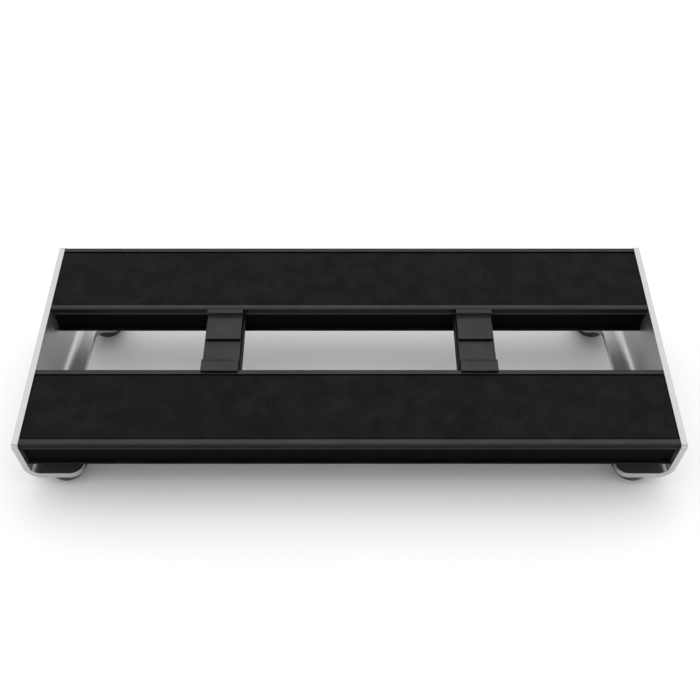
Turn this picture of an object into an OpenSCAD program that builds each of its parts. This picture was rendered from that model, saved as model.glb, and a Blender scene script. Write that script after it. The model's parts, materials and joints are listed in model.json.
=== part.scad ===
// Pedalboard: two loop-topped rails between bent side plates, with two bridging brackets.
// The row frame stands on the floor: +X to the right, +Y to the back, +Z up.
// The deck frame (on_deck) has X to the right, s back along the slope and n up out of the deck.

/* [Board] */
// Width over the outer faces of the side plates
board_w = 430; // [300:5:600]
// Height of the deck's front edge above the floor
front_h = 48.8; // [46:0.2:80]
// Slope of the deck, rising to the back, in degrees
tilt = 10.8; // [6:0.1:14]
// Gap between the two rails, along the slope
rail_gap = 52; // [42:1:80]

/* [Side plates] */
// How far each plate stands out beyond the rails, front and back
overhang = 1.7; // [0:0.1:4]
// Thickness of the side plate sheet
sheet_t = 4; // [3:0.5:5]
// Outside radius of the bend between web and flange
bend_r = 10; // [8:0.5:12]
// Radius of the web's two top corners
web_corner_r = 2.5; // [1:0.5:5]
// Reach of the foot tabs from the outer face
tab_reach = 36.5; // [34:0.5:45]
// Length of each foot tab, front to back
tab_len = 29.6; // [28:0.2:36]
// Corner radius of the foot tabs
tab_r = 8; // [4:0.5:10]
// Reach of the narrow flange between the tabs
waist_reach = 18; // [15:0.5:20]
// Largest inside radius where the narrow flange meets a tab
waist_r = 6; // [3:0.5:14]

/* [Rails] */
// Width of a rail along the slope
rail_w = 58; // [50:1:75]
// Height of a rail
rail_h = 25.5; // [23:0.5:32]
// Wall thickness of the rail extrusion
rail_wall = 2; // [1.5:0.1:2.5]
// Width of the top lip beside the loop strip
lip_w = 3.7; // [3:0.1:5]
// Depth of the recess for the loop strip
recess_d = 2.2; // [1.5:0.1:3]
// Radius of the lip's outer edge
lip_r = 1; // [0.5:0.1:1.5]
// Height of the plain band below the lip
band_h = 4.6; // [4:0.1:5]
// Height and depth of the groove below the band
groove = 0.7; // [0.4:0.1:1]
// Height of the rib below the groove
rib_h = 1.5; // [1:0.1:2]
// Depth of the open channel between the ribs
panel_d = 6; // [4:0.5:7]
// Depth of the trim strip's face behind the rail's side
trim_in = 2.4; // [2:0.1:3]
// Clearance between the trim strip and its channel
trim_gap = 0.1; // [0.05:0.05:0.3]
// Height of the rib at the foot of the rail
foot_rib_h = 1.2; // [0.8:0.1:2]
// Distance of a screw port from the rail's side face
port_inset = 14; // [12:0.5:16]
// Depth of a screw port's axis below the deck
port_drop = 13.6; // [12.5:0.1:15]
// Outside radius of a screw port
port_r = 4.5; // [4:0.1:5]

/* [Loop strips] */
// Thickness of the loop strip
strip_t = 1.9; // [1.2:0.1:2.6]
// Clearance between strip and lip on each side
strip_gap = 0.35; // [0.1:0.05:0.6]

/* [Feet] */
// Diameter of a foot where it meets the floor
foot_d = 21; // [18:0.5:26]
// Diameter of a foot where it meets the tab
foot_top_d = 29; // [24:0.5:32]
// Height of a foot
foot_h = 9.6; // [7:0.2:12]
// Distance of a foot's axis from the side plate's outer face
foot_inset = 22.8; // [20:0.2:26]
// Distance of a foot's axis from the tab's free end, front to back
foot_end = 14.8; // [13:0.1:17]

/* [Bridges] */
// Distance of each bridge from the middle of the board
bridge_x = 87.5; // [30:0.5:120]
// Width of the bridge's top plates
bridge_w = 24; // [22:0.5:30]
// Extra width of the raised ends over the top plates
end_extra_w = 0.8; // [0:0.1:1.2]
// Width of the ledge that the base channel shows on each side
ledge_w = 1.4; // [1:0.1:3]
// Depth of the base channel
channel_h = 6; // [5:0.5:9]
// Thickness of the base channel's web and walls
channel_t = 2; // [1.5:0.1:2.5]
// Drop from the deck to the cover's flat top
cover_drop = 3; // [2.5:0.1:4]
// Thickness of the cover's flat plate
cover_t = 2; // [1.5:0.1:2.5]
// Thickness of the front slider's plate
slider_t = 3; // [2.6:0.1:4]
// Height of the slider's hook above the deck
hook_up = 2.3; // [1.5:0.1:3]
// Overlap of the hook on the front rail's lip
hook_over = 2.3; // [1.5:0.1:2.5]
// Length of the hook behind the front rail's face
hook_len = 7.5; // [5:0.1:9]
// Travel of the slider that frees its hook
slider_travel = 3; // [2.6:0.1:4]

/* [Screws and fits] */
// Radius of the rail screws
m5_r = 2.5; // [2:0.1:3]
// Radius of the foot screws and thumb screws
m4_r = 2; // [1.5:0.1:2.5]
// Radius of the bridge cover screws
m3_r = 1.5; // [1:0.1:2]
// Clearance of a screw in its thread
thread_gap = 0.04; // [0.02:0.01:0.1]
// Clearance of a screw in a plain hole
hole_gap = 0.25; // [0.1:0.05:0.5]
// Running clearance between sliding faces
run_gap = 0.08; // [0.03:0.01:0.15]

/* [Hidden] */

// Facets of round shapes, and the overshoot of cutting tools
$fn = 96;
eps = 0.5;

// Deck: both rails and the gap between them
deck_l = 2 * rail_w + rail_gap;
gap_front = rail_w;
gap_rear = rail_w + rail_gap;
rail_l = board_w - 2 * sheet_t;

// Side plate, measured from its own top front corner
plate_l = deck_l + 2 * overhang;
plate_z = front_h - overhang * sin(tilt);
flange_top = foot_h + sheet_t;
front_foot_y = (plate_z - flange_top) * tan(tilt);
rear_foot_y = plate_l * cos(tilt) + (plate_z + plate_l * sin(tilt) - flange_top) * tan(tilt);
corner_dy = web_corner_r * (cos(tilt) + sin(tilt) - 1);
plate_y = -(rear_foot_y + corner_dy) / 2;
flange_front = plate_y + front_foot_y;
flange_rear = plate_y + rear_foot_y;
front_y = plate_y + overhang * cos(tilt);
web_top = plate_z + plate_l * sin(tilt) + 1;

// Flange in plan: its inner edges, and the notch between the tabs
tab_x = board_w / 2 - tab_reach;
waist_x = board_w / 2 - waist_reach;
waist_front = flange_front + tab_len;
waist_rear = flange_rear - tab_len;
waist_curve = min(waist_r, tab_reach - waist_reach - tab_r - 0.5);

// Rail section, as depths below the deck
rib_top = band_h + groove;
rib_foot = rib_top + rib_h;
cell_top = recess_d + rail_wall;
cell_foot = rail_h - rail_wall;
cell_side = panel_d + rail_wall;
port_places = [port_inset, rail_w - port_inset];

// Countersunk rail screw
m5_head_r = 2 * m5_r;
m5_head_h = m5_head_r - m5_r;
m5_len = 16;
m5_key = 3.2;
m5_key_depth = 2;

// Foot fixings, as heights above the floor
recess_r = 5.6;
washer_r = 5;
washer_t = 1;
pan_r = 4;
pan_h = 2.4;
recess_top = 4.2;
foot_edge_r = 1;
foot_places = [
    [-1, flange_front + foot_end],
    [1, flange_front + foot_end],
    [-1, flange_rear - foot_end],
    [1, flange_rear - foot_end]
];
foot_x = board_w / 2 - foot_inset;

// Bridge levels, as heights over the deck
cover_top = -cover_drop;
cover_under = cover_top - cover_t;
channel_top = cover_under - slider_t - run_gap;
channel_foot = channel_top - channel_h;
web_under = channel_top - channel_t;

// Bridge lengths along the slope
end_gap = 0.3;
end_flat = 3.4;
end_slope = 1.2;
block_l = 14;
split_s = gap_front + 0.54 * rail_gap;
block_s = gap_rear - block_l;
tongue_end = block_s - slider_travel - 0.6;
lock_s = gap_front + 16;
cover_screw_s = gap_rear - 8;
cover_screw_dx = 7;
end_w = bridge_w + end_extra_w;
channel_w = bridge_w + 2 * ledge_w;
tooth_h = 1.6;
tooth_reach = 1.5;
tooth_root = 1;
tooth_w = 14;
hook_nose = 0.6;
hook_bevel_l = 3;
hook_bevel_h = 1;

// Thumb screw and its fittings
insert_r = 3;
insert_h = 2.4;
lock_washer_r = 6;
knob_r = 9;
knob_h = 12;
knob_ribs = 12;
lock_len = 6;

// Puts children into the deck frame
module on_deck() {
    translate([0, front_y, front_h])
        rotate([tilt, 0, 0])
            children();
}

// Extrudes an outline drawn in (s, n) across the board, centred on x
module across(x, w) {
    translate([x - w / 2, 0, 0])
        rotate([90, 0, 90])
            linear_extrude(w)
                children();
}

// Mirrors children to the left for side -1
module on_side(side) {
    mirror([side < 0 ? 1 : 0, 0, 0])
        children();
}

// ---------------------------------------------------------------- side plates

// What rounding by r takes off a corner at the origin, with its sides along +x and -y
module corner_cut(r) {
    difference() {
        translate([-eps, -r])
            square([r + eps, r + eps]);
        translate([r, -r])
            circle(r);
    }
}

// Outline of the plate from the side, in (y, z)
module plate_side() {
    difference() {
        polygon([
            [plate_y, plate_z],
            [plate_y + plate_l * cos(tilt), plate_z + plate_l * sin(tilt)],
            [flange_rear, flange_top],
            [flange_rear, foot_h - eps],
            [flange_front, foot_h - eps],
            [flange_front, flange_top]
        ]);
        translate([plate_y, plate_z])
            rotate(tilt) {
                corner_cut(web_corner_r);
                translate([plate_l, 0])
                    mirror([1, 0])
                        corner_cut(web_corner_r);
            }
    }
}

// Section of the bent sheet, in (x, z)
module plate_section() {
    bend = [board_w / 2 - bend_r, foot_h + bend_r];
    translate([board_w / 2 - sheet_t, bend.y])
        square([sheet_t, web_top - bend.y]);
    translate([tab_x, foot_h])
        square([tab_reach - bend_r, sheet_t]);
    intersection() {
        translate(bend)
            difference() {
                circle(bend_r);
                circle(bend_r - sheet_t);
            }
        translate([bend.x, foot_h])
            square(bend_r);
    }
}

// What is cut from the flange in plan: the notch between the tabs, and the tabs' corners
module flange_cuts() {
    difference() {
        translate([tab_x - eps, waist_front])
            square([waist_x - tab_x + eps, waist_rear - waist_front]);
        translate([waist_x, waist_rear])
            mirror([1, 0])
                corner_cut(waist_curve);
        translate([waist_x, waist_front])
            mirror([1, 0])
                mirror([0, 1])
                    corner_cut(waist_curve);
    }
    for (y = [waist_front, flange_rear])
        translate([tab_x, y])
            corner_cut(tab_r);
    for (y = [flange_front, waist_rear])
        translate([tab_x, y])
            mirror([0, 1])
                corner_cut(tab_r);
}

// Axes of the rail screws in the deck frame, at the outer face of the right plate
module at_rail_screws() {
    for (rail_s = [0, gap_rear], port = port_places)
        on_deck()
            translate([board_w / 2, rail_s + port, -port_drop])
                rotate([0, -90, 0])
                    children();
}

// Countersunk hole drilled inwards from the outer face
module countersunk_hole() {
    translate([0, 0, -eps])
        cylinder(r = m5_r + hole_gap, h = sheet_t + 2 * eps);
    rotate_extrude()
        polygon([
            [0, -eps],
            [m5_head_r + eps, -eps],
            [m5_head_r, 0],
            [m5_r, m5_head_h],
            [0, m5_head_h]
        ]);
}

module side_plate(side) {
    color("silver")
        on_side(side)
            difference() {
                intersection() {
                    translate([0, flange_rear + 2 * eps, 0])
                        rotate([90, 0, 0])
                            linear_extrude(flange_rear - plate_y + 4 * eps)
                                plate_section();
                    across(board_w / 2 - tab_reach / 2, tab_reach + 2 * eps)
                        plate_side();
                }
                translate([0, 0, foot_h - eps])
                    linear_extrude(sheet_t + 2 * eps)
                        flange_cuts();
                at_rail_screws()
                    countersunk_hole();
                for (p = foot_places)
                    if (p.x > 0)
                        translate([foot_x, p.y, foot_h - eps])
                            cylinder(r = m4_r + thread_gap, h = sheet_t + 2 * eps);
            }
}

// ---------------------------------------------------------------- rails

// Everything cut from one side of the rail's outline, side face at s = 0
module rail_side_cuts() {
    corner_cut(lip_r);
    // groove with a sloping foot, so that the rib has a bevelled top
    polygon([
        [-eps, -band_h],
        [groove, -band_h],
        [groove, -band_h - groove / 2],
        [0, -rib_top - groove / 2],
        [-eps, -rib_top - groove / 2]
    ]);
    // open channel
    translate([-eps, -rail_h + foot_rib_h])
        square([panel_d + eps, rail_h - foot_rib_h - rib_foot]);
}

// Hollow section of the rail in (s, n), with two screw ports
module rail_section() {
    difference() {
        translate([0, -rail_h])
            square([rail_w, rail_h]);
        rail_side_cuts();
        translate([rail_w, 0])
            mirror([1, 0])
                rail_side_cuts();
        translate([lip_w, -recess_d])
            square([rail_w - 2 * lip_w, recess_d + eps]);
        difference() {
            translate([cell_side, -cell_foot])
                square([rail_w - 2 * cell_side, cell_foot - cell_top]);
            for (port = port_places) {
                translate([port - rail_wall / 2, -cell_foot - eps])
                    square([rail_wall, cell_foot - cell_top + 2 * eps]);
                translate([port, -port_drop])
                    circle(port_r);
            }
        }
        for (port = port_places)
            translate([port, -port_drop])
                circle(m5_r + thread_gap);
    }
}

module rail(s) {
    color([0.16, 0.16, 0.17])
        on_deck()
            translate([0, s, 0])
                across(0, rail_l)
                    rail_section();
}

// Rubber strips pressed into the rail's two side channels
module rail_trim(s) {
    channel_l = rail_h - foot_rib_h - rib_foot;
    color([0.08, 0.08, 0.08])
        on_deck()
            for (side_s = [s + trim_in, s + rail_w - panel_d + trim_gap])
                translate([
                    -rail_l / 2 + trim_gap,
                    side_s,
                    foot_rib_h - rail_h + trim_gap
                ])
                    cube([
                        rail_l - 2 * trim_gap,
                        panel_d - trim_in - trim_gap,
                        channel_l - 2 * trim_gap
                    ]);
}

module loop_strip(s) {
    color([0.1, 0.1, 0.1])
        on_deck()
            translate([-rail_l / 2 + strip_gap, s + lip_w + strip_gap, -recess_d])
                cube([
                    rail_l - 2 * strip_gap,
                    rail_w - 2 * lip_w - 2 * strip_gap,
                    strip_t
                ]);
}

// ---------------------------------------------------------------- fixings

module countersunk_screw() {
    difference() {
        rotate_extrude()
            polygon([
                [0, 0],
                [m5_head_r - thread_gap, 0],
                [m5_r, m5_head_h - thread_gap],
                [m5_r, m5_len - 0.5],
                [m5_r - 0.5, m5_len],
                [0, m5_len]
            ]);
        translate([0, 0, -eps])
            cylinder(d = m5_key / cos(30), h = m5_key_depth + eps, $fn = 6);
    }
}

module rail_screws(side) {
    color([0.75, 0.75, 0.76])
        on_side(side)
            at_rail_screws()
                countersunk_screw();
}

module foot(index) {
    p = foot_places[index];
    color([0.1, 0.1, 0.1])
        translate([p.x * foot_x, p.y, 0])
            rotate_extrude()
                polygon([
                    [recess_r, 0],
                    [foot_d / 2 - foot_edge_r, 0],
                    [foot_d / 2, foot_edge_r],
                    [foot_top_d / 2, foot_h - 1.5],
                    [foot_top_d / 2, foot_h],
                    [m4_r + hole_gap, foot_h],
                    [m4_r + hole_gap, recess_top],
                    [recess_r, recess_top]
                ]);
}

module foot_washer_set() {
    color([0.7, 0.7, 0.7])
        for (p = foot_places)
            translate([p.x * foot_x, p.y, recess_top - washer_t])
                difference() {
                    cylinder(r = washer_r, h = washer_t);
                    translate([0, 0, -eps])
                        cylinder(r = m4_r + hole_gap, h = washer_t + 2 * eps);
                }
}

// Pan head screw standing on its head, head from z = 0
module pan_screw(r, head_r, head_h, len, key) {
    difference() {
        union() {
            cylinder(r = head_r, h = head_h);
            cylinder(r = r, h = head_h + len);
        }
        translate([0, 0, -eps])
            cylinder(d = key / cos(30), h = head_h * 0.6 + eps, $fn = 6);
    }
}

module foot_screw_set() {
    head_z = recess_top - washer_t - pan_h;
    color([0.7, 0.7, 0.7])
        for (p = foot_places)
            translate([p.x * foot_x, p.y, head_z])
                pan_screw(m4_r, pan_r, pan_h, flange_top - head_z - pan_h, 2.5);
}

// ---------------------------------------------------------------- bridges

// Base channel: inverted U between the rails, slotted for the thumb screw
module bridge_base(side) {
    x = side * bridge_x;
    color([0.14, 0.14, 0.15])
        on_deck()
            difference() {
                translate([x - channel_w / 2, gap_front + end_gap, channel_foot])
                    cube([channel_w, rail_gap - 2 * end_gap, channel_h]);
                translate([x - channel_w / 2 + channel_t, gap_front, channel_foot - eps])
                    cube([channel_w - 2 * channel_t, rail_gap, channel_h - channel_t + eps]);
                // slot, as wide as the screw and as long as the slider's travel
                for (ds = [0, slider_travel])
                    translate([x, lock_s + ds, web_under - eps])
                        cylinder(r = m4_r + hole_gap, h = channel_t + 2 * eps);
                translate([x - m4_r - hole_gap, lock_s, web_under - eps])
                    cube([2 * (m4_r + hole_gap), slider_travel, channel_t + 2 * eps]);
                for (dx = [-cover_screw_dx, cover_screw_dx])
                    translate([x + dx, cover_screw_s, web_under - eps])
                        cylinder(r = m3_r + hole_gap, h = channel_t + 2 * eps);
                // notch for the root of the cover's tooth
                translate([
                    x - tooth_w / 2 - hole_gap,
                    gap_rear - end_gap - tooth_root - hole_gap,
                    -rib_foot - run_gap - tooth_h - hole_gap
                ])
                    cube([tooth_w + 2 * hole_gap, tooth_root + end_gap + eps, tooth_h + 2]);
            }
}

// Side outline of the cover: flat plate, ramp, level end flush with the rail, block below
module cover_outline() {
    polygon([
        [split_s, cover_top],
        [gap_rear - end_flat - end_slope, cover_top],
        [gap_rear - end_flat, 0],
        [gap_rear - end_gap, 0],
        [gap_rear - end_gap, channel_top],
        [block_s, channel_top],
        [block_s, cover_under],
        [split_s, cover_under]
    ]);
}

module bridge_cover(side) {
    x = side * bridge_x;
    tooth_s = gap_rear - end_gap - tooth_root;
    color([0.2, 0.2, 0.21])
        on_deck()
            difference() {
                union() {
                    across(x, bridge_w)
                        cover_outline();
                    across(x, end_w)
                        intersection() {
                            cover_outline();
                            translate([gap_rear - end_flat, channel_top])
                                square([end_flat, -channel_top + eps]);
                        }
                    // tooth under the rib of the rear rail
                    translate([x - tooth_w / 2, tooth_s, -rib_foot - run_gap - tooth_h])
                        cube([tooth_w, tooth_root + end_gap + tooth_reach, tooth_h]);
                }
                for (dx = [-cover_screw_dx, cover_screw_dx])
                    translate([x + dx, cover_screw_s, channel_top - eps])
                        cylinder(r = m3_r + thread_gap, h = 4 + eps);
            }
}

module cover_screws(side) {
    color([0.6, 0.6, 0.61])
        on_deck()
            for (dx = [-cover_screw_dx, cover_screw_dx])
                translate([side * bridge_x + dx, cover_screw_s, web_under - 1.6])
                    pan_screw(m3_r, 2.75, 1.6, channel_t + 3.5, 2);
}

// Side outline of the slider: tongue under the cover, plate, bevelled hook over the front lip
module slider_outline() {
    foot_n = channel_top + run_gap;
    top_n = cover_under - run_gap;
    face = gap_front + end_gap;
    tip = gap_front - hook_over;
    back = gap_front + hook_len;
    polygon([
        [face, foot_n],
        [tongue_end, foot_n],
        [tongue_end, top_n],
        [back, top_n],
        [back, hook_up - hook_bevel_h],
        [back - hook_bevel_l, hook_up],
        [tip + hook_nose, hook_up],
        [tip, hook_up - hook_nose],
        [tip, run_gap],
        [face, run_gap]
    ]);
}

module bridge_slider(side) {
    x = side * bridge_x;
    face = gap_front + end_gap;
    top_n = cover_under - run_gap;
    color([0.2, 0.2, 0.21])
        on_deck()
            difference() {
                union() {
                    across(x, bridge_w)
                        slider_outline();
                    across(x, end_w)
                        intersection() {
                            slider_outline();
                            translate([gap_front - hook_over - eps, top_n])
                                square([hook_over + hook_len + 2 * eps, hook_up - top_n + eps]);
                        }
                    // tooth under the rib of the front rail
                    translate([
                        x - tooth_w / 2,
                        gap_front - tooth_reach,
                        channel_top + run_gap
                    ])
                        cube([
                            tooth_w,
                            tooth_root + end_gap + tooth_reach,
                            -rib_foot - run_gap - channel_top - run_gap
                        ]);
                }
                translate([x, lock_s, channel_top - eps])
                    cylinder(r = insert_r, h = insert_h + run_gap + eps);
            }
}

module thread_insert(side) {
    color([0.8, 0.65, 0.3])
        on_deck()
            translate([side * bridge_x, lock_s, channel_top + run_gap])
                difference() {
                    cylinder(r = insert_r - thread_gap, h = insert_h);
                    translate([0, 0, -eps])
                        cylinder(r = m4_r + thread_gap, h = insert_h + 2 * eps);
                }
}

module lock_washer(side) {
    color([0.7, 0.7, 0.7])
        on_deck()
            translate([side * bridge_x, lock_s, web_under - washer_t])
                difference() {
                    cylinder(r = lock_washer_r, h = washer_t);
                    translate([0, 0, -eps])
                        cylinder(r = m4_r + thread_gap, h = washer_t + 2 * eps);
                }
}

// Thumb screw: ribbed knob below the channel's web, screw up into the slider's insert
module thumb_screw(side) {
    color([0.15, 0.15, 0.15])
        on_deck()
            translate([side * bridge_x, lock_s, web_under - washer_t - knob_h]) {
                difference() {
                    cylinder(r = knob_r, h = knob_h);
                    for (i = [0 : knob_ribs - 1])
                        rotate(i * 360 / knob_ribs)
                            translate([knob_r + 0.4, 0, -eps])
                                cylinder(r = 1.2, h = knob_h + 2 * eps, $fn = 24);
                }
                cylinder(r = m4_r, h = knob_h + lock_len - 1);
            }
}

side_plate(-1);  // left_side_plate
side_plate(1);  // right_side_plate
rail(0);  // front_rail
rail(gap_rear);  // rear_rail
rail_trim(0);  // front_rail_trim
rail_trim(gap_rear);  // rear_rail_trim
loop_strip(0);  // front_loop_strip
loop_strip(gap_rear);  // rear_loop_strip
rail_screws(-1);  // left_rail_screws
rail_screws(1);  // right_rail_screws
foot(0);  // front_left_foot
foot(1);  // front_right_foot
foot(2);  // rear_left_foot
foot(3);  // rear_right_foot
foot_washer_set();  // foot_washers
foot_screw_set();  // foot_screws
bridge_base(-1);  // left_bridge_base
bridge_cover(-1);  // left_bridge_cover
cover_screws(-1);  // left_cover_screws
bridge_slider(-1);  // left_bridge_slider
thread_insert(-1);  // left_thread_insert
lock_washer(-1);  // left_lock_washer
thumb_screw(-1);  // left_thumb_screw
bridge_base(1);  // right_bridge_base
bridge_cover(1);  // right_bridge_cover
cover_screws(1);  // right_cover_screws
bridge_slider(1);  // right_bridge_slider
thread_insert(1);  // right_thread_insert
lock_washer(1);  // right_lock_washer
thumb_screw(1);  // right_thumb_screw
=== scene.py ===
"""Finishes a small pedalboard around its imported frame: loop fabric, metal, rubber, paint and a studio."""

import json
import math
import random

import bmesh
import bpy
from bpy.props import FloatProperty, FloatVectorProperty, IntProperty, PointerProperty
from mathutils import Matrix, Vector, noise


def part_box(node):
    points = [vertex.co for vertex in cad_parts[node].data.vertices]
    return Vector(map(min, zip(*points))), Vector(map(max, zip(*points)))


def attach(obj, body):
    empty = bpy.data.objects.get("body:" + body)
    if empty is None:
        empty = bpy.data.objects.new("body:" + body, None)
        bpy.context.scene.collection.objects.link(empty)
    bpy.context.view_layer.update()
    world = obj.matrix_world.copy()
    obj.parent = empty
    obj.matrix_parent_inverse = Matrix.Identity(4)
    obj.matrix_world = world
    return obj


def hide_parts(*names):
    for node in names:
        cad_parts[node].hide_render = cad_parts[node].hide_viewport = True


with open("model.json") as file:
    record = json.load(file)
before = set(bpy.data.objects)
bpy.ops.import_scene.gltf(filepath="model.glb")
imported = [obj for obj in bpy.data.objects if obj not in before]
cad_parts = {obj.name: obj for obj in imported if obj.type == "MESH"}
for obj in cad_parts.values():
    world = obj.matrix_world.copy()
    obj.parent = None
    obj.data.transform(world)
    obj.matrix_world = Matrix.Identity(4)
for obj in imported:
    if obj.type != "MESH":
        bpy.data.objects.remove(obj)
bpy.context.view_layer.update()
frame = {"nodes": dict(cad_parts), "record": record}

bl_info = {
    "name": "Pedalboard Finish",
    "version": (1, 0, 0),
    "blender": (4, 5, 0),
    "location": "View3D > Sidebar > Pedalboard",
    "description": "Dresses the pedalboard's frame in fabric, metal, rubber and paint",
    "category": "Object",
}

MM = 0.001

PLATES = ("left_side_plate", "right_side_plate")
RAILS = ("front_rail", "rear_rail")
FEET = ("front_left_foot", "front_right_foot", "rear_left_foot", "rear_right_foot")
SIDES = ("left", "right")

# Colours of pieces that have no setting of their own. Pairs are a noise's dark and light ends.
# Trim in the rails' side channels: near-black matt rubber that paints the deep shade of the channels.
CHANNEL_SHADE_TRIM = (0.0025, 0.0025, 0.0026)
FOOT_RUBBER = (0.02, 0.02, 0.021)
KNOB_PLASTIC = (0.015, 0.015, 0.016)
ZINC = ((0.5, 0.51, 0.53, 1), (0.66, 0.66, 0.64, 1))
BRASS = ((0.6, 0.42, 0.16, 1), (0.78, 0.6, 0.3, 1))
FLOOR_PAPER = ((0.91, 0.91, 0.91, 1), (0.95, 0.95, 0.95, 1))
RAIL_DUST = (0.22, 0.21, 0.2, 1.0)
COAT_DUST = (0.2, 0.19, 0.18, 1.0)
RUBBER_DUST = (0.25, 0.24, 0.22, 1.0)
DULL_TINT = (0.35, 0.35, 0.35, 1.0)

# Unevenness of the fabric: waves per metre, height, and how deep its edges roll
SLOW_WAVES = 45
FAST_WAVES = 900
UNEVEN = 0.09 * MM
ROLL_DEPTH = 0.75

# Loose loops: how deep their ends sit, how far they lean (radians), their spread of sizes
LOOP_SINK = 0.06 * MM
LOOP_LEAN = 0.7
LOOP_WIDTH = (0.7, 1.3)
LOOP_HEIGHT = (0.35, 0.62)

# Edge radius of screws and inserts, and how far the rails' lips stand over the strips
FIXING_EDGE = 0.15 * MM
LIP_RISE = 0.3 * MM

# Studio: the soft light overhead, and the camera's sensor in millimetres and sideways shift
TOP_LIGHT_PLACE = (0.0, 0.25, 1.7)
TOP_LIGHT_SIZE = 1.8
SENSOR_WIDTH = 36.0
SIDE_SHIFT = 0.0008


# ---------------------------------------------------------------- settings


class FabricSettings(bpy.types.PropertyGroup):
    """Loop strips on the rails"""

    pile: FloatProperty(
        name="Pile height",
        description="How far loose loops rise above the body of the fabric",
        default=0.25 * MM,
        unit="LENGTH",
        precision=5,
    )
    cell: FloatProperty(
        name="Mesh cell",
        description="Spacing of the fabric's mesh",
        default=0.85 * MM,
        unit="LENGTH",
        precision=5,
    )
    edge_round: FloatProperty(
        name="Edge rounding",
        description="Width over which the fabric rolls down at its cut edges",
        default=0.9 * MM,
        unit="LENGTH",
        precision=5,
    )
    loose_loops: IntProperty(
        name="Loose loops",
        description="Number of loops that stand out of each strip",
        default=2600,
        min=0,
    )
    loop_radius: FloatProperty(
        name="Loop radius",
        description="Radius of one loose loop",
        default=0.3 * MM,
        unit="LENGTH",
        precision=5,
    )
    yarn_radius: FloatProperty(
        name="Yarn radius",
        description="Radius of the yarn of a loose loop",
        default=0.05 * MM,
        unit="LENGTH",
        precision=5,
    )
    colour: FloatVectorProperty(
        name="Fabric colour",
        description="Colour of the loop fabric",
        subtype="COLOR",
        default=(0.0054, 0.0054, 0.0056),
    )


class MetalSettings(bpy.types.PropertyGroup):
    """Plates, rails, bridges and fixings"""

    plate_colour: FloatVectorProperty(
        name="Plate colour",
        description="Reflection colour of the satin aluminium plates",
        subtype="COLOR",
        default=(0.5, 0.502, 0.507),
    )
    rail_colour: FloatVectorProperty(
        name="Rail colour",
        description="Reflection colour of the black anodised rails",
        subtype="COLOR",
        default=(0.037, 0.037, 0.038),
    )
    bridge_colour: FloatVectorProperty(
        name="Bridge colour",
        description="Colour of the powder coat on the bridges",
        subtype="COLOR",
        default=(0.039, 0.039, 0.04),
    )
    edge_radius: FloatProperty(
        name="Edge radius",
        description="Radius over which machined edges catch the light",
        default=0.3 * MM,
        unit="LENGTH",
        precision=5,
    )


class StageSettings(bpy.types.PropertyGroup):
    """Camera, floor and lights"""

    lens: FloatProperty(
        name="Lens",
        description="Focal length of the camera",
        default=47.57,
        unit="CAMERA",
    )
    pitch: FloatProperty(
        name="Camera pitch",
        description="Angle of the camera below the horizon",
        default=math.radians(43.05),
        subtype="ANGLE",
    )
    distance: FloatProperty(
        name="Camera distance",
        description="How far the camera stands in front of the deck's front edge",
        default=388.5 * MM,
        unit="LENGTH",
    )
    height: FloatProperty(
        name="Camera height",
        description="Height of the camera above the deck's front edge",
        default=444.8 * MM,
        unit="LENGTH",
    )
    floor_size: FloatProperty(
        name="Floor size",
        description="Side of the square floor",
        default=12.0,
        unit="LENGTH",
    )
    sky_horizon: FloatProperty(
        name="Sky at the horizon",
        description="Strength of the light from low down all round",
        default=1.4,
    )
    sky_top: FloatProperty(
        name="Sky overhead",
        description="Strength of the light from above",
        default=1.2,
    )
    sky_front: FloatProperty(
        name="Sky in front",
        description="Share of the light that is left high up on the camera's side",
        default=0.5,
    )
    top_light: FloatProperty(
        name="Top light",
        description="Power of the large soft light above",
        default=4.0,
        unit="POWER",
    )


# ---------------------------------------------------------------- places


def mount_point(name):
    """Place and direction of one of the record's mounts."""
    for row in frame["record"]["mounts"]:
        if row["name"] == name:
            return Vector(row["pos_m"]), Vector(row["axis"])
    raise RuntimeError(f"the record has no mount named {name}")


def deck_matrix(name):
    """Frame on a strip's top face, from its mount: X along the board, Y up the slope, Z out."""
    origin, up = mount_point(name)
    across = Vector((1, 0, 0))
    slope = up.cross(across).normalized()
    turn = Matrix((across, slope, up)).transposed().to_4x4()
    return Matrix.Translation(origin) @ turn


def sloped_size(node, tilt):
    """Length, width and thickness of a straight piece that lies in the sloping deck."""
    low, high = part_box(node)
    size = high - low
    spread = math.cos(2 * tilt)
    width = (size.y * math.cos(tilt) - size.z * math.sin(tilt)) / spread
    thick = (size.z * math.cos(tilt) - size.y * math.sin(tilt)) / spread
    return size.x, width, thick


def deck_tilt():
    """Slope of the deck, from its mounts' direction."""
    up = mount_point("front_deck")[1]
    return math.atan2(-up.y, up.z)


# ---------------------------------------------------------------- node helpers


def new_node(tree, kind, **settings):
    """Adds a node and sets its properties."""
    node = tree.nodes.new(kind)
    for name, value in settings.items():
        setattr(node, name, value)
    return node


def feed(tree, target, source):
    """Links a socket, or writes a plain value."""
    if isinstance(source, bpy.types.NodeSocket):
        tree.links.new(source, target)
    elif source is not None:
        target.default_value = source


def maths(tree, operation, a, b=None, clamp=False):
    """A Math node's result."""
    node = new_node(tree, "ShaderNodeMath", operation=operation, use_clamp=clamp)
    feed(tree, node.inputs[0], a)
    feed(tree, node.inputs[1], b)
    return node.outputs[0]


def spread_over(tree, value, low, high, to_low, to_high):
    """Maps value from low..high to to_low..to_high, clamped."""
    node = new_node(tree, "ShaderNodeMapRange", clamp=True)
    for socket, number in zip(node.inputs[:5], (value, low, high, to_low, to_high)):
        feed(tree, socket, number)
    return node.outputs[0]


def from_noise(tree, value, to_low, to_high):
    """Maps the middle of a noise, where most of it lies, to to_low..to_high."""
    return spread_over(tree, value, 0.3, 0.7, to_low, to_high)


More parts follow.
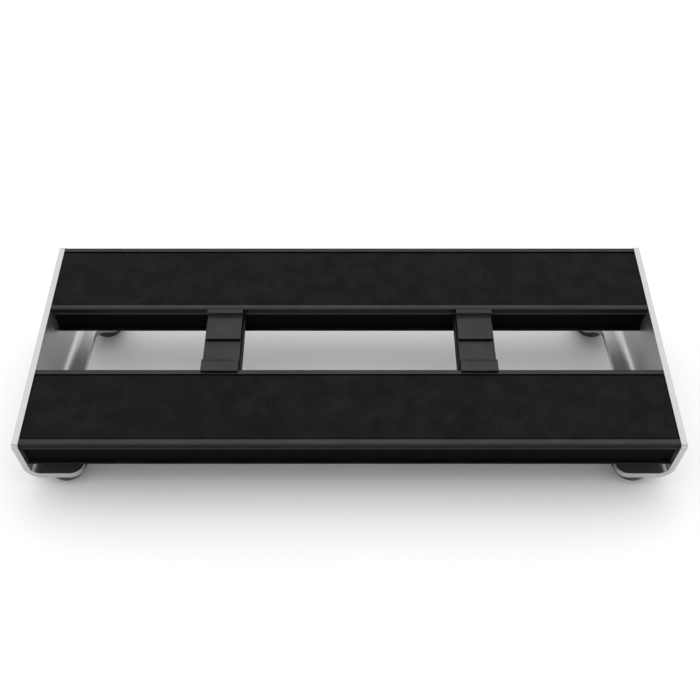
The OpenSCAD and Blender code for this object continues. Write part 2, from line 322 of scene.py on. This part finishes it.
def mixed(tree, factor, a, b):
    """Mix of two colours."""
    node = new_node(tree, "ShaderNodeMix", data_type="RGBA")
    feed(tree, node.inputs[0], factor)
    feed(tree, node.inputs[6], a)
    feed(tree, node.inputs[7], b)
    return node.outputs[2]


def scaled_place(tree, scale):
    """Object coordinates, scaled per axis."""
    place = new_node(tree, "ShaderNodeTexCoord")
    mapping = new_node(tree, "ShaderNodeMapping")
    tree.links.new(place.outputs["Object"], mapping.inputs["Vector"])
    feed(tree, mapping.inputs["Scale"], scale)
    return mapping.outputs["Vector"]


def noise_value(tree, vector, scale, detail=2.0, rough=0.5):
    """A noise texture's value."""
    node = new_node(tree, "ShaderNodeTexNoise")
    tree.links.new(vector, node.inputs["Vector"])
    feed(tree, node.inputs["Scale"], scale)
    node.inputs["Detail"].default_value = detail
    node.inputs["Roughness"].default_value = rough
    return node.outputs["Fac"]


def cell_distance(tree, vector, scale, feature="F1"):
    """A Voronoi texture's distance."""
    node = new_node(tree, "ShaderNodeTexVoronoi", feature=feature)
    tree.links.new(vector, node.inputs["Vector"])
    feed(tree, node.inputs["Scale"], scale)
    return node.outputs["Distance"]


def bump_normal(tree, height, distance, strength=1.0, normal=None):
    """A Bump node's normal, over an optional base normal."""
    node = new_node(tree, "ShaderNodeBump")
    node.inputs["Strength"].default_value = strength
    node.inputs["Distance"].default_value = distance
    tree.links.new(height, node.inputs["Height"])
    feed(tree, node.inputs["Normal"], normal)
    return node.outputs["Normal"]


def group_tree(name, inputs, outputs):
    """Empty node group with the named sockets; inputs are (name, kind, default)."""
    tree = bpy.data.node_groups.new(name, "ShaderNodeTree")
    for label, kind, default in inputs:
        socket = tree.interface.new_socket(label, in_out="INPUT", socket_type=kind)
        socket.default_value = default
    for label, kind in outputs:
        tree.interface.new_socket(label, in_out="OUTPUT", socket_type=kind)
    return tree, new_node(tree, "NodeGroupInput"), new_node(tree, "NodeGroupOutput")


def use_group(tree, name, **values):
    """Places a shared group and sets or links its inputs."""
    node = new_node(tree, "ShaderNodeGroup", node_tree=bpy.data.node_groups[name])
    for label, value in values.items():
        feed(tree, node.inputs[label], value)
    return node


# ---------------------------------------------------------------- shared effects


def make_edge_wear_and_highlight():
    """Mask that is bright where a face turns into its neighbour, for edge wear and a painted edge
    highlight, and the rounded normal.
    """
    tree, given, out = group_tree(
        "edge_wear_and_highlight",
        [
            ("Radius", "NodeSocketFloat", 0.3 * MM),
            ("Breakup", "NodeSocketFloat", 900.0),
            ("Turn", "NodeSocketFloat", 0.2),
        ],
        [("Mask", "NodeSocketFloat"), ("Normal", "NodeSocketVector")],
    )
    rounded = new_node(tree, "ShaderNodeBevel", samples=4)
    tree.links.new(given.outputs["Radius"], rounded.inputs["Radius"])
    flat = new_node(tree, "ShaderNodeNewGeometry")
    facing = new_node(tree, "ShaderNodeVectorMath", operation="DOT_PRODUCT")
    tree.links.new(rounded.outputs["Normal"], facing.inputs[0])
    tree.links.new(flat.outputs["Normal"], facing.inputs[1])
    full = maths(tree, "SUBTRACT", 1.0, given.outputs["Turn"])
    turned = spread_over(tree, facing.outputs["Value"], 1.0, full, 0.0, 1.0)
    place = scaled_place(tree, (1, 1, 1))
    patches = noise_value(tree, place, given.outputs["Breakup"], 3.0, 0.6)
    patchy = spread_over(tree, patches, 0.35, 0.65, 0.35, 1.0)
    tree.links.new(maths(tree, "MULTIPLY", turned, patchy), out.inputs["Mask"])
    tree.links.new(rounded.outputs["Normal"], out.inputs["Normal"])


def make_drawn_lines():
    """Fine lines along the board, as an extrusion die or a brush leaves them."""
    tree, given, out = group_tree(
        "drawn_lines",
        [("Pitch", "NodeSocketFloat", 900.0)],
        [("Height", "NodeSocketFloat"), ("Tone", "NodeSocketFloat")],
    )
    stretched = scaled_place(tree, (0.006, 1, 1))
    fine = noise_value(tree, stretched, given.outputs["Pitch"], 4.0, 0.65)
    broad = noise_value(
        tree, stretched, maths(tree, "MULTIPLY", given.outputs["Pitch"], 0.18), 2.0
    )
    tree.links.new(fine, out.inputs["Height"])
    tree.links.new(
        maths(tree, "ADD", maths(tree, "MULTIPLY", fine, 0.6), maths(tree, "MULTIPLY", broad, 0.4)),
        out.inputs["Tone"],
    )


def make_fine_grain():
    """Even grain, from bead blasting, powder coat or a moulding tool's texture."""
    tree, given, out = group_tree(
        "fine_grain",
        [("Scale", "NodeSocketFloat", 2500.0), ("Blotch", "NodeSocketFloat", 60.0)],
        [("Height", "NodeSocketFloat"), ("Blotches", "NodeSocketFloat")],
    )
    place = scaled_place(tree, (1, 1, 1))
    small = noise_value(tree, place, given.outputs["Scale"], 3.0, 0.6)
    pits = cell_distance(tree, place, given.outputs["Scale"])
    tree.links.new(
        maths(tree, "ADD", maths(tree, "MULTIPLY", small, 0.6), maths(tree, "MULTIPLY", pits, 0.4)),
        out.inputs["Height"],
    )
    tree.links.new(
        noise_value(tree, place, given.outputs["Blotch"], 4.0, 0.55), out.inputs["Blotches"]
    )


def make_dust():
    """Thin dust that settles on faces that look up."""
    tree, given, out = group_tree(
        "dust", [("Amount", "NodeSocketFloat", 0.1)], [("Mask", "NodeSocketFloat")]
    )
    facing = new_node(tree, "ShaderNodeNewGeometry")
    parts = new_node(tree, "ShaderNodeSeparateXYZ")
    tree.links.new(facing.outputs["Normal"], parts.inputs[0])
    upward = spread_over(tree, parts.outputs["Z"], 0.2, 1.0, 0.0, 1.0)
    place = scaled_place(tree, (1, 1, 1))
    drift = spread_over(tree, noise_value(tree, place, 70.0, 5.0, 0.6), 0.4, 0.7, 0.0, 1.0)
    specks = spread_over(tree, cell_distance(tree, place, 1400.0), 0.0, 0.25, 1.0, 0.0)
    total = maths(tree, "ADD", maths(tree, "MULTIPLY", drift, 0.6), specks, clamp=True)
    settled = maths(tree, "MULTIPLY", maths(tree, "MULTIPLY", total, upward), given.outputs["Amount"])
    tree.links.new(settled, out.inputs["Mask"])


def make_loop_pile():
    """Tangle of small yarn loops: height, a tone that follows the height so the hollows between loops are
    darker as painted shade, and slow random changes of colour.
    """
    tree, given, out = group_tree(
        "loop_pile",
        [("Scale", "NodeSocketFloat", 1300.0)],
        [
            ("Height", "NodeSocketFloat"),
            ("Tone", "NodeSocketFloat"),
            ("Shade", "NodeSocketFloat"),
        ],
    )
    place = scaled_place(tree, (1, 1, 1))
    wander = new_node(tree, "ShaderNodeTexNoise")
    tree.links.new(place, wander.inputs["Vector"])
    tree.links.new(given.outputs["Scale"], wander.inputs["Scale"])
    drift = new_node(tree, "ShaderNodeVectorMath", operation="MULTIPLY_ADD")
    tree.links.new(wander.outputs["Color"], drift.inputs[0])
    drift.inputs[1].default_value = (0.9 * MM,) * 3
    tree.links.new(place, drift.inputs[2])
    rings = cell_distance(tree, drift.outputs[0], given.outputs["Scale"])
    loops = maths(tree, "PINGPONG", rings, 0.28)
    strands = noise_value(
        tree, drift.outputs[0], maths(tree, "MULTIPLY", given.outputs["Scale"], 3.2), 3.0, 0.7
    )
    height = maths(
        tree, "ADD", maths(tree, "MULTIPLY", loops, 2.2), maths(tree, "MULTIPLY", strands, 0.6)
    )
    tree.links.new(height, out.inputs["Height"])
    # Tone follows the height: the hollows between the loops get painted shade.
    tree.links.new(spread_over(tree, height, 0.25, 0.95, 0.0, 1.0), out.inputs["Tone"])
    shade = from_noise(tree, noise_value(tree, place, 55.0, 5.0, 0.55), 0.0, 1.0)
    tree.links.new(shade, out.inputs["Shade"])


# ---------------------------------------------------------------- materials


def new_material(name):
    """Material with an empty Principled shader."""
    material = bpy.data.materials.new(name)
    material.use_nodes = True
    tree = material.node_tree
    tree.nodes.clear()
    shader = new_node(tree, "ShaderNodeBsdfPrincipled")
    output = new_node(tree, "ShaderNodeOutputMaterial")
    tree.links.new(shader.outputs["BSDF"], output.inputs["Surface"])
    return material, tree, shader


def tint(colour, factor):
    """The colour made darker or lighter, with alpha."""
    return tuple(min(1.0, c * factor) for c in colour[:3]) + (1.0,)


def layered_colour(tree, shader, ground, *layers):
    """Base colour of a shader: a ground colour with (mask, colour) layers over it."""
    colour = ground
    for mask, over in layers:
        colour = mixed(tree, mask, colour, over)
    feed(tree, shader.inputs["Base Color"], colour)


def textured(tree, shader, texture, depth, strength, wear_and_highlight):
    """Bumps a shader with a texture's height, over the rounded edges."""
    rounded = wear_and_highlight.outputs["Normal"]
    normal = bump_normal(tree, texture.outputs["Height"], depth, strength, rounded)
    feed(tree, shader.inputs["Normal"], normal)


def satin_aluminium(name, colour, radius):
    """Bead-blasted, clear anodised aluminium whose edges are made brighter: wear and a painted highlight.
    """
    material, tree, shader = new_material(name)
    grain = use_group(tree, "fine_grain", Scale=2600.0, Blotch=38.0)
    wear_and_highlight = use_group(tree, "edge_wear_and_highlight", Radius=radius, Breakup=700.0)
    layered_colour(
        tree,
        shader,
        tint(colour, 0.93),
        (grain.outputs["Blotches"], tint(colour, 1.05)),
        (wear_and_highlight.outputs["Mask"], tint(colour, 1.3)),
    )
    shader.inputs["Metallic"].default_value = 1.0
    rough = from_noise(tree, grain.outputs["Blotches"], 0.35, 0.43)
    polish = maths(tree, "MULTIPLY", wear_and_highlight.outputs["Mask"], 0.08)
    feed(tree, shader.inputs["Roughness"], maths(tree, "SUBTRACT", rough, polish))
    textured(tree, shader, grain, 0.02 * MM, 0.5, wear_and_highlight)
    return material


def anodised_black(name, colour, radius):
    """Black anodised extrusion: drawn lines, soft gloss, edges a little paler from wear and a painted
    highlight.
    """
    material, tree, shader = new_material(name)
    lines = use_group(tree, "drawn_lines", Pitch=1500.0)
    wear_and_highlight = use_group(tree, "edge_wear_and_highlight", Radius=radius, Breakup=500.0)
    dust = use_group(tree, "dust", Amount=0.12)
    layered_colour(
        tree,
        shader,
        tint(colour, 0.8),
        (lines.outputs["Tone"], tint(colour, 1.2)),
        (wear_and_highlight.outputs["Mask"], tint(colour, 1.5)),
        (dust.outputs["Mask"], RAIL_DUST),
    )
    shader.inputs["Metallic"].default_value = 1.0
    shader.inputs["Specular Tint"].default_value = DULL_TINT
    rough = from_noise(tree, lines.outputs["Tone"], 0.3, 0.42)
    dulled = maths(tree, "MULTIPLY", dust.outputs["Mask"], 1.5)
    feed(tree, shader.inputs["Roughness"], maths(tree, "ADD", rough, dulled))
    textured(tree, shader, lines, 0.03 * MM, 0.4, wear_and_highlight)
    return material


def powder_coat(name, colour, radius, gloss=0.42, rub_and_highlight=2.5, turn=0.2):
    """Fine textured powder coat of about this roughness, its edges made paler by the given factor: wear and
    a painted highlight.
    """
    material, tree, shader = new_material(name)
    grain = use_group(tree, "fine_grain", Scale=1500.0, Blotch=90.0)
    wear_and_highlight = use_group(tree, "edge_wear_and_highlight", Radius=radius, Breakup=800.0, Turn=turn)
    dust = use_group(tree, "dust", Amount=0.1)
    layered_colour(
        tree,
        shader,
        tint(colour, 0.8),
        (grain.outputs["Blotches"], tint(colour, 1.2)),
        (wear_and_highlight.outputs["Mask"], tint(colour, rub_and_highlight)),
        (dust.outputs["Mask"], COAT_DUST),
    )
    shader.inputs["Metallic"].default_value = 1.0
    shader.inputs["Specular Tint"].default_value = DULL_TINT
    rough = from_noise(tree, grain.outputs["Blotches"], gloss - 0.05, gloss + 0.07)
    feed(tree, shader.inputs["Roughness"], rough)
    textured(tree, shader, grain, 0.06 * MM, 0.6, wear_and_highlight)
    return material


def moulded(name, colour, roughness, grain_scale, radius, shine=0.5):
    """Moulded rubber or plastic with tool texture, scuffs and dust, its edges paler from scuffs and a
    painted highlight.
    """
    material, tree, shader = new_material(name)
    grain = use_group(tree, "fine_grain", Scale=grain_scale, Blotch=160.0)
    wear_and_highlight = use_group(tree, "edge_wear_and_highlight", Radius=radius, Breakup=600.0)
    dust = use_group(tree, "dust", Amount=0.25)
    layered_colour(
        tree,
        shader,
        tint(colour, 0.75),
        (grain.outputs["Blotches"], tint(colour, 1.3)),
        (wear_and_highlight.outputs["Mask"], tint(colour, 1.8)),
        (dust.outputs["Mask"], RUBBER_DUST),
    )
    rough = from_noise(tree, grain.outputs["Blotches"], roughness - 0.07, roughness + 0.07)
    feed(tree, shader.inputs["Roughness"], rough)
    shader.inputs["Specular IOR Level"].default_value = shine
    textured(tree, shader, grain, 0.05 * MM, 0.5, wear_and_highlight)
    return material


def plated(name, dark, light, radius, roughness):
    """Plated or machined metal with cloudy colour and fine grain, its edges paler from wear and a painted
    highlight.
    """
    material, tree, shader = new_material(name)
    grain = use_group(tree, "fine_grain", Scale=3200.0, Blotch=420.0)
    wear_and_highlight = use_group(tree, "edge_wear_and_highlight", Radius=radius, Breakup=1500.0)
    layered_colour(
        tree,
        shader,
        dark,
        (grain.outputs["Blotches"], light),
        (wear_and_highlight.outputs["Mask"], tint(light, 1.25)),
    )
    shader.inputs["Metallic"].default_value = 1.0
    rough = from_noise(tree, grain.outputs["Blotches"], roughness - 0.05, roughness + 0.09)
    feed(tree, shader.inputs["Roughness"], rough)
    textured(tree, shader, grain, 0.01 * MM, 0.4, wear_and_highlight)
    return material


def loop_cloth(name, colour):
    """Matt black loop pile with lint caught in it, darker in the hollows between loops as painted shade."""
    material, tree, shader = new_material(name)
    pile = use_group(tree, "loop_pile", Scale=1300.0)
    dust = use_group(tree, "dust", Amount=0.05)
    layered_colour(
        tree,
        shader,
        tint(colour, 0.55),
        # Darker in the pile's hollows, lighter on the loop tops: painted shade in the pile.
        (pile.outputs["Tone"], tint(colour, 1.35)),
        (maths(tree, "MULTIPLY", pile.outputs["Shade"], 0.35), tint(colour, 1.6)),
        (dust.outputs["Mask"], COAT_DUST),
    )
    shader.inputs["Specular IOR Level"].default_value = 0.1
    shader.inputs["Sheen Weight"].default_value = 0.02
    shader.inputs["Sheen Roughness"].default_value = 0.5
    rough = spread_over(tree, pile.outputs["Tone"], 0.0, 1.0, 0.98, 0.82)
    feed(tree, shader.inputs["Roughness"], rough)
    normal = bump_normal(tree, pile.outputs["Height"], 0.35 * MM, 0.8)
    feed(tree, shader.inputs["Normal"], normal)
    return material


def wear_only(node_name, material):
    """Gives a CAD node's object one material in every slot."""
    slots = frame["nodes"][node_name].data.materials
    if not slots:
        slots.append(material)
    for index in range(len(slots)):
        slots[index] = material


# ---------------------------------------------------------------- fabric


def mesh_object(name, shape, material, smooth=True):
    """Object at the origin from a finished bmesh."""
    mesh = bpy.data.meshes.new(name)
    shape.to_mesh(mesh)
    shape.free()
    mesh.materials.append(material)
    for face in mesh.polygons:
        face.use_smooth = smooth
    piece = bpy.data.objects.new(name, mesh)
    bpy.context.scene.collection.objects.link(piece)
    return piece


def fabric_shape(length, width, thick, settings):
    """Closed slab of loop fabric, top centre at the origin, uneven on top and rolled at its edges."""
    shape = bmesh.new()
    bmesh.ops.create_grid(
        shape,
        x_segments=round(length / settings.cell),
        y_segments=round(width / settings.cell),
        size=0.5,
    )
    bmesh.ops.scale(shape, vec=(length, width, 1.0), verts=shape.verts)
    roll = settings.edge_round
    for vert in shape.verts:
        inset = min(length / 2 - abs(vert.co.x), width / 2 - abs(vert.co.y))
        drop = 1 - min(1.0, inset / roll)
        slow = noise.noise(vert.co * SLOW_WAVES)
        fast = noise.noise(vert.co * FAST_WAVES)
        uneven = 0.5 * slow + 0.5 * fast
        vert.co.z = -settings.pile - ROLL_DEPTH * roll * drop**2 + UNEVEN * uneven
    rim = [edge for edge in shape.edges if edge.is_boundary]
    walls = bmesh.ops.extrude_edge_only(shape, edges=rim)["geom"]
    low = [part for part in walls if isinstance(part, bmesh.types.BMVert)]
    for vert in low:
        vert.co.z = -thick
    foot = [part for part in walls if isinstance(part, bmesh.types.BMEdge)]
    foot = [edge for edge in foot if edge.is_boundary]
    bmesh.ops.contextual_create(shape, geom=foot)
    bmesh.ops.recalc_face_normals(shape, faces=shape.faces)
    return shape


def one_loop(settings):
    """One standing loop of yarn, half a ring, its ends on the XY plane."""
    shape = bmesh.new()
    ring = bmesh.ops.create_circle(shape, segments=4, radius=settings.yarn_radius)["verts"]
    bmesh.ops.translate(shape, verts=ring, vec=(settings.loop_radius, 0, 0))
    bmesh.ops.spin(
        shape,
        geom=shape.verts[:] + shape.edges[:],
        cent=(0, 0, 0),
        axis=(0, 1, 0),
        dvec=(0, 0, 0),
        angle=-math.pi,
        steps=5,
        use_merge=False,
        use_duplicate=False,
    )
    bmesh.ops.recalc_face_normals(shape, faces=shape.faces)
    mesh = bpy.data.meshes.new("one_loop")
    shape.to_mesh(mesh)
    shape.free()
    return mesh


def loose_pile(length, width, settings, seed):
    """Loose loops scattered over a strip, leaning every way."""
    dice = random.Random(seed)
    template = one_loop(settings)
    shape = bmesh.new()
    margin = settings.edge_round
    for _ in range(settings.loose_loops):
        x = dice.uniform(margin - length / 2, length / 2 - margin)
        y = dice.uniform(margin - width / 2, width / 2 - margin)
        turn = Matrix.Rotation(dice.uniform(0, math.tau), 4, "Z")
        lean = Matrix.Rotation(dice.gauss(0, LOOP_LEAN), 4, "X")
        grow = Matrix.Diagonal((dice.uniform(*LOOP_WIDTH), 1, dice.uniform(*LOOP_HEIGHT), 1))
        place = Matrix.Translation((x, y, -settings.pile - LOOP_SINK))
        loop = template.copy()
        loop.transform(place @ turn @ lean @ grow)
        shape.from_mesh(loop)
        bpy.data.meshes.remove(loop)
    bpy.data.meshes.remove(template)
    return shape


# ---------------------------------------------------------------- operators


class PEDALBOARD_OT_effects(bpy.types.Operator):
    """Builds the shared shader effects"""

    bl_idname = "pedalboard.effects"
    bl_label = "Build Shared Effects"

    def execute(self, context):
        make_edge_wear_and_highlight()
        make_drawn_lines()
        make_fine_grain()
        make_dust()
        make_loop_pile()
        return {"FINISHED"}


class PEDALBOARD_OT_side_plates(bpy.types.Operator):
    """Gives both side plates satin aluminium"""

    bl_idname = "pedalboard.side_plates"
    bl_label = "Finish Side Plates"

    def execute(self, context):
        metal = context.scene.pedalboard_metal
        finish = satin_aluminium("satin_aluminium", metal.plate_colour, metal.edge_radius)
        for name in PLATES:
            wear_only(name, finish)
        return {"FINISHED"}


class PEDALBOARD_OT_rails(bpy.types.Operator):
    """Gives both rails a black anodised finish and their side strips matt rubber, coloured near-black as
    painted shade of the rails' deep side channels
    """

    bl_idname = "pedalboard.rails"
    bl_label = "Finish Rails"

    def execute(self, context):
        metal = context.scene.pedalboard_metal
        finish = anodised_black("black_anodised", metal.rail_colour, metal.edge_radius)
        # The side trims are near-black: painted shade of the rails' deep side channels.
        rubber = moulded("trim_rubber", CHANNEL_SHADE_TRIM, 0.8, 2600.0, metal.edge_radius, 0.04)
        for name in RAILS:
            wear_only(name, finish)
            wear_only(f"{name}_trim", rubber)
        return {"FINISHED"}


class PEDALBOARD_OT_loop_strips(bpy.types.Operator):
    """Replaces the plain strips with loop fabric and its loose loops"""

    bl_idname = "pedalboard.loop_strips"
    bl_label = "Lay Loop Strips"

    def execute(self, context):
        settings = context.scene.pedalboard_fabric
        cloth = loop_cloth("loop_fabric", settings.colour)
        tilt = deck_tilt()
        for seed, end in enumerate(("front", "rear")):
            node = f"{end}_loop_strip"
            length, width, thick = sloped_size(node, tilt)
            place = deck_matrix(f"{end}_deck")
            body = fabric_shape(length, width, thick, settings)
            body.transform(place)
            strip = mesh_object(f"{end}_loop_fabric", body, cloth)
            loops = loose_pile(length, width, settings, seed)
            loops.transform(place)
            pile = mesh_object(f"{end}_loose_loops", loops, cloth)
            for piece in (strip, pile):
                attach(piece, "board")
            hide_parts(node)
        return {"FINISHED"}


class PEDALBOARD_OT_feet(bpy.types.Operator):
    """Gives the feet moulded rubber"""

    bl_idname = "pedalboard.feet"
    bl_label = "Finish Feet"

    def execute(self, context):
        radius = context.scene.pedalboard_metal.edge_radius
        rubber = moulded("foot_rubber", FOOT_RUBBER, 0.6, 2200.0, 1.5 * radius)
        for name in FEET:
            wear_only(name, rubber)
        return {"FINISHED"}


class PEDALBOARD_OT_bridges(bpy.types.Operator):
    """Gives the bridges powder coat, with painted highlights on the edges and painted shade on the base
    channels' dark walls, and their thumb screws plastic
    """

    bl_idname = "pedalboard.bridges"
    bl_label = "Finish Bridges"

    def execute(self, context):
        metal = context.scene.pedalboard_metal
        colour, radius = metal.bridge_colour, 1.5 * metal.edge_radius
        top = powder_coat("bridge_powder_coat", colour, radius)
        # The sliders' hooks: edges made paler over even slight turns, a painted highlight along their
        # rounded edges.
        hook = powder_coat("slider_coat_painted_highlight", colour, radius, rub_and_highlight=3.0, turn=0.02)
        # The base channels: a darkened coat as painted shade on their side walls, and edges fourteen times
        # paler as a painted highlight on their ledges.
        channel = powder_coat(
            "channel_coat_painted_shade_and_highlight", tint(colour, 0.45)[:3], radius, gloss=0.5, rub_and_highlight=14.0, turn=0.1
        )
        knob = moulded("knob_plastic", KNOB_PLASTIC, 0.42, 1800.0, metal.edge_radius)
        for side in SIDES:
            wear_only(f"{side}_bridge_cover", top)
            wear_only(f"{side}_bridge_slider", hook)
            wear_only(f"{side}_bridge_base", channel)
            wear_only(f"{side}_thumb_screw", knob)
        return {"FINISHED"}


class PEDALBOARD_OT_fixings(bpy.types.Operator):
    """Gives screws and washers zinc plate, and the inserts brass"""

    bl_idname = "pedalboard.fixings"
    bl_label = "Finish Fixings"

    def execute(self, context):
        zinc = plated("zinc_plate", *ZINC, FIXING_EDGE, 0.3)
        brass = plated("insert_brass", *BRASS, FIXING_EDGE, 0.28)
        names = ["foot_screws", "foot_washers"]
        for side in SIDES:
            names += [f"{side}_rail_screws", f"{side}_cover_screws", f"{side}_lock_washer"]
            wear_only(f"{side}_thread_insert", brass)
        for name in names:
            wear_only(name, zinc)
        return {"FINISHED"}


class PEDALBOARD_OT_stage(bpy.types.Operator):
    """Sets the floor, the lights and the camera"""

    bl_idname = "pedalboard.stage"
    bl_label = "Set Stage"

    def execute(self, context):
        stage = context.scene.pedalboard_stage
        scene = context.scene
        scene.view_settings.view_transform = "Standard"

        shape = bmesh.new()
        bmesh.ops.create_grid(shape, x_segments=1, y_segments=1, size=stage.floor_size / 2)
        paper, tree, shader = new_material("studio_floor")
        place = scaled_place(tree, (1, 1, 1))
        tone = mixed(tree, noise_value(tree, place, 3.0, 3.0), *FLOOR_PAPER)
        feed(tree, shader.inputs["Base Color"], tone)
        shader.inputs["Roughness"].default_value = 0.9
        shader.inputs["Specular IOR Level"].default_value = 0.1
        mesh_object("studio_floor", shape, paper, smooth=False)

        scene.world = self.make_sky(stage)
        centre = (0.0, 0.0, 0.0)
        self.add_light("top_light", TOP_LIGHT_PLACE, centre, TOP_LIGHT_SIZE, stage.top_light)
        self.add_camera(scene, stage)
        return {"FINISHED"}

    def make_sky(self, stage):
        """Soft light from all round, weaker high up on the camera's side of the board."""
        world = bpy.data.worlds.new("studio_sky")
        world.use_nodes = True
        tree = world.node_tree
        direction = new_node(tree, "ShaderNodeTexCoord")
        parts = new_node(tree, "ShaderNodeSeparateXYZ")
        tree.links.new(direction.outputs["Generated"], parts.inputs[0])
        height = maths(tree, "ABSOLUTE", parts.outputs["Z"])
        low = spread_over(tree, height, 0.0, 0.85, stage.sky_horizon, stage.sky_top)
        ahead = spread_over(tree, parts.outputs["Y"], -0.1, -0.6, 0.0, 1.0)
        high = spread_over(tree, height, 0.2, 0.55, 0.0, 1.0 - stage.sky_front)
        shaded = maths(tree, "SUBTRACT", 1.0, maths(tree, "MULTIPLY", ahead, high))
        strength = maths(tree, "MULTIPLY", low, shaded)
        tree.links.new(strength, tree.nodes["Background"].inputs["Strength"])
        tree.nodes["Background"].inputs["Color"].default_value = (1.0, 1.0, 1.0, 1.0)
        return world

    def add_light(self, name, place, target, size, power):
        """Square soft light that faces a point."""
        lamp = bpy.data.lights.new(name, "AREA")
        lamp.size = size
        lamp.energy = power
        light = bpy.data.objects.new(name, lamp)
        light.location = place
        away = Vector(target) - Vector(place)
        light.rotation_euler = away.to_track_quat("-Z", "Y").to_euler()
        bpy.context.scene.collection.objects.link(light)

    def add_camera(self, scene, stage):
        """Camera in front of the deck, looking down at it."""
        camera_data = bpy.data.cameras.new("studio_camera")
        camera_data.lens = stage.lens
        camera_data.sensor_width = SENSOR_WIDTH
        camera_data.shift_x = SIDE_SHIFT
        camera = bpy.data.objects.new("studio_camera", camera_data)
        edge = front_edge()
        camera.location = (0.0, edge.y - stage.distance, edge.z + stage.height)
        camera.rotation_euler = (math.pi / 2 - stage.pitch, 0.0, 0.0)
        scene.collection.objects.link(camera)
        scene.camera = camera


def front_edge():
    """Top front edge of the front rail, from the strip's mount and the rail's width."""
    place = deck_matrix("front_deck")
    width = sloped_size("front_rail", deck_tilt())[1]
    return place @ Vector((0.0, -width / 2, LIP_RISE))


class PEDALBOARD_PT_finish(bpy.types.Panel):
    """Lists the pedalboard's finishing steps"""

    bl_idname = "PEDALBOARD_PT_finish"
    bl_label = "Pedalboard"
    bl_space_type = "VIEW_3D"
    bl_region_type = "UI"
    bl_category = "Pedalboard"

    def draw(self, context):
        for settings in ("pedalboard_fabric", "pedalboard_metal", "pedalboard_stage"):
            group = getattr(context.scene, settings)
            for name in group.__annotations__:
                self.layout.prop(group, name)
        for step in STEPS:
            self.layout.operator(step.bl_idname)


STEPS = (
    PEDALBOARD_OT_effects,
    PEDALBOARD_OT_side_plates,
    PEDALBOARD_OT_rails,
    PEDALBOARD_OT_loop_strips,
    PEDALBOARD_OT_feet,
    PEDALBOARD_OT_bridges,
    PEDALBOARD_OT_fixings,
    PEDALBOARD_OT_stage,
)
SETTINGS = {
    "pedalboard_fabric": FabricSettings,
    "pedalboard_metal": MetalSettings,
    "pedalboard_stage": StageSettings,
}
CLASSES = (*SETTINGS.values(), *STEPS, PEDALBOARD_PT_finish)


def register():
    for kind in CLASSES:
        bpy.utils.register_class(kind)
    for name, kind in SETTINGS.items():
        setattr(bpy.types.Scene, name, PointerProperty(type=kind))


def unregister():
    for name in SETTINGS:
        delattr(bpy.types.Scene, name)
    for kind in reversed(CLASSES):
        bpy.utils.unregister_class(kind)


def main():
    """Runs every step in order."""
    register()
    bpy.ops.pedalboard.effects()
    bpy.ops.pedalboard.side_plates()
    bpy.ops.pedalboard.rails()
    bpy.ops.pedalboard.loop_strips()
    bpy.ops.pedalboard.feet()
    bpy.ops.pedalboard.bridges()
    bpy.ops.pedalboard.fixings()
    bpy.ops.pedalboard.stage()


if __name__ == "__main__":
    main()
